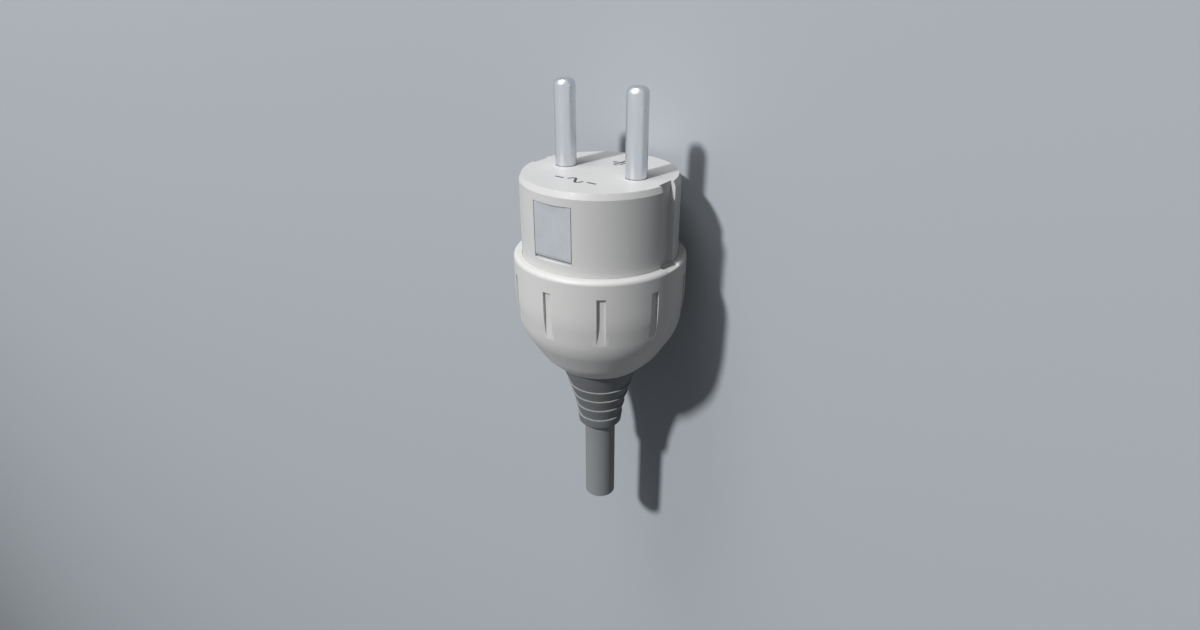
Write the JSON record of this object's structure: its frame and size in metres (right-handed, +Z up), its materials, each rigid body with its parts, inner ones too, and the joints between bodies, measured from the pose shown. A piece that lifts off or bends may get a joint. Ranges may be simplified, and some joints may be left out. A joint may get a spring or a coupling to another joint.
{
  "type": "schuko plug",
  "caption": "Round earthed mains plug: contact pins in a grooved front body with side earth contacts, bowl-shaped hood with grip slots, bend boot and cord end.",
  "frame": {"origin": "on the floor, below the middle of the plug's length and width", "axes": "+Y along the plug towards the pin tips, X through both pins and the guide grooves, +Z up, through both side earth contacts"},
  "size_m": [0.04, 0.1072, 0.04],
  "materials": {
    "body_plastic": "light grey moulded thermoplastic, fine satin",
    "hood_plastic": "light grey moulded thermoplastic, fine satin",
    "plated_pin": "brass with satin nickel plate",
    "plated_strap": "brass strip with matt nickel plate",
    "screw_steel": "zinc-plated steel",
    "clamp_plastic": "moulded thermoplastic",
    "boot_rubber": "dark grey soft moulding, matt",
    "sheath_pvc": "mid grey flexible sheath, satin",
    "core_brown": "brown core insulation",
    "core_blue": "blue core insulation",
    "core_green_yellow": "green and yellow core insulation",
    "copper": "bare copper strands, drawn as one round"
  },
  "bodies": {
    "root": {"contact_carrier": "body_plastic", "rear_hood": "hood_plastic", "contact_pin_1": "plated_pin", "contact_pin_2": "plated_pin", "pin_screw_1": "screw_steel", "pin_screw_2": "screw_steel", "earth_strap": "plated_strap", "earth_saddle": "screw_steel", "earth_screw": "screw_steel", "cord_clamp": "clamp_plastic", "clamp_screw_1": "screw_steel", "clamp_screw_2": "screw_steel", "bend_boot": "boot_rubber", "cord_sheath": "sheath_pvc", "core_brown": "core_brown", "core_blue": "core_blue", "core_earth": "core_green_yellow", "conductor_brown": "copper", "conductor_blue": "copper", "conductor_earth": "copper"}
  },
  "joints": []
}
